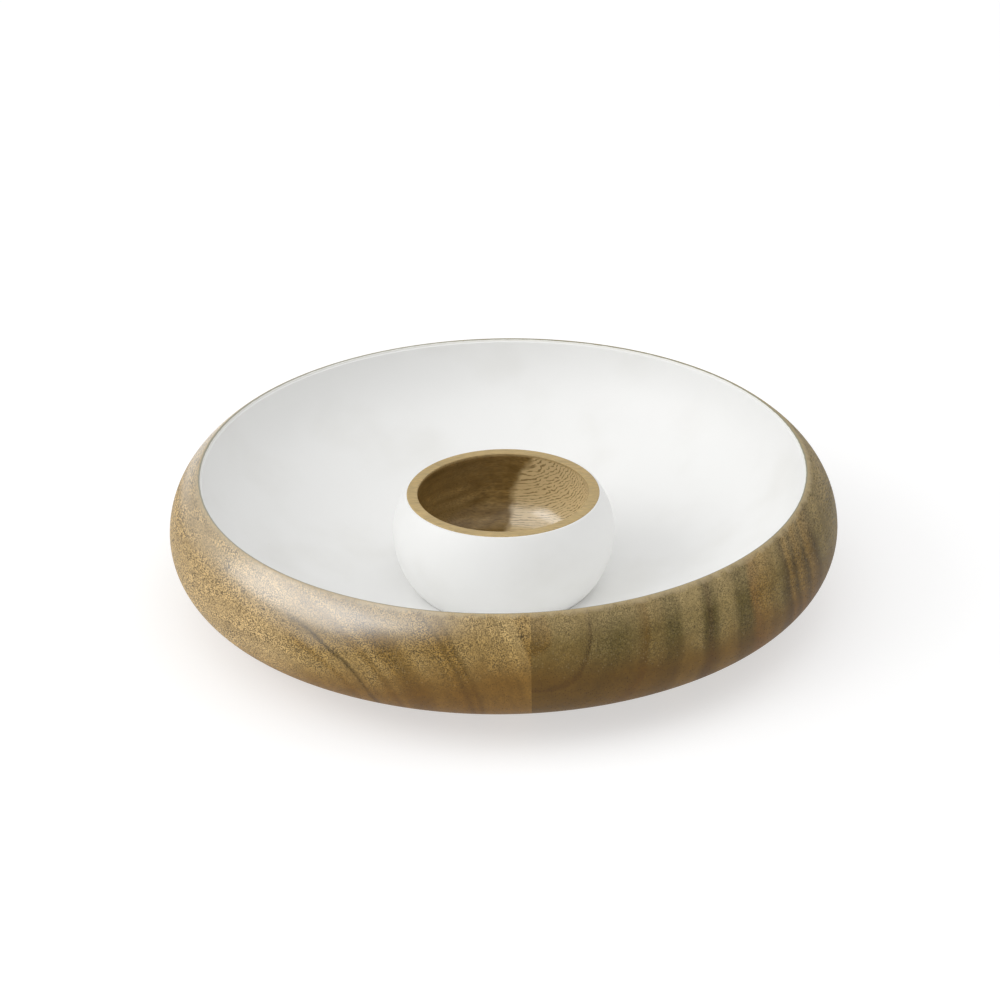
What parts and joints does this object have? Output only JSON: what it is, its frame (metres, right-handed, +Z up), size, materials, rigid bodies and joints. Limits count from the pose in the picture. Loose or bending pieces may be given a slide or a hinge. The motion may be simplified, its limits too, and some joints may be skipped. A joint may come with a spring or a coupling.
{
  "type": "chip and dip server",
  "caption": "Wide turned wooden serving tray with a white enamelled hollow and a loose round dip bowl standing in its middle.",
  "frame": {"origin": "centre of the round base, on the surface that the tray stands on", "axes": "+Z up along the common axis of tray and dip bowl; +Y runs along the grain and the glue joint of the tray's boards; +X to the right, towards the darker board"},
  "size_m": [0.356, 0.356, 0.075],
  "materials": {
    "tray_wood_light": "oiled mango wood, satin",
    "tray_wood_dark": "oiled mango wood, satin",
    "bowl_wood": "oiled mango wood, satin",
    "enamel": "glossy white food-safe enamel coat"
  },
  "bodies": {
    "tray": {"tray_board_left": "tray_wood_light", "tray_board_right": "tray_wood_dark", "tray_enamel": "enamel"},
    "dip_bowl": {"dip_bowl_wood": "bowl_wood", "dip_bowl_enamel": "enamel"}
  },
  "joints": [
    {"name": "dip_bowl_lift", "type": "slide", "parent": "tray", "child": "dip_bowl", "axis": [0, 0, 1], "range_m": [0, 0.09]}
  ]
}
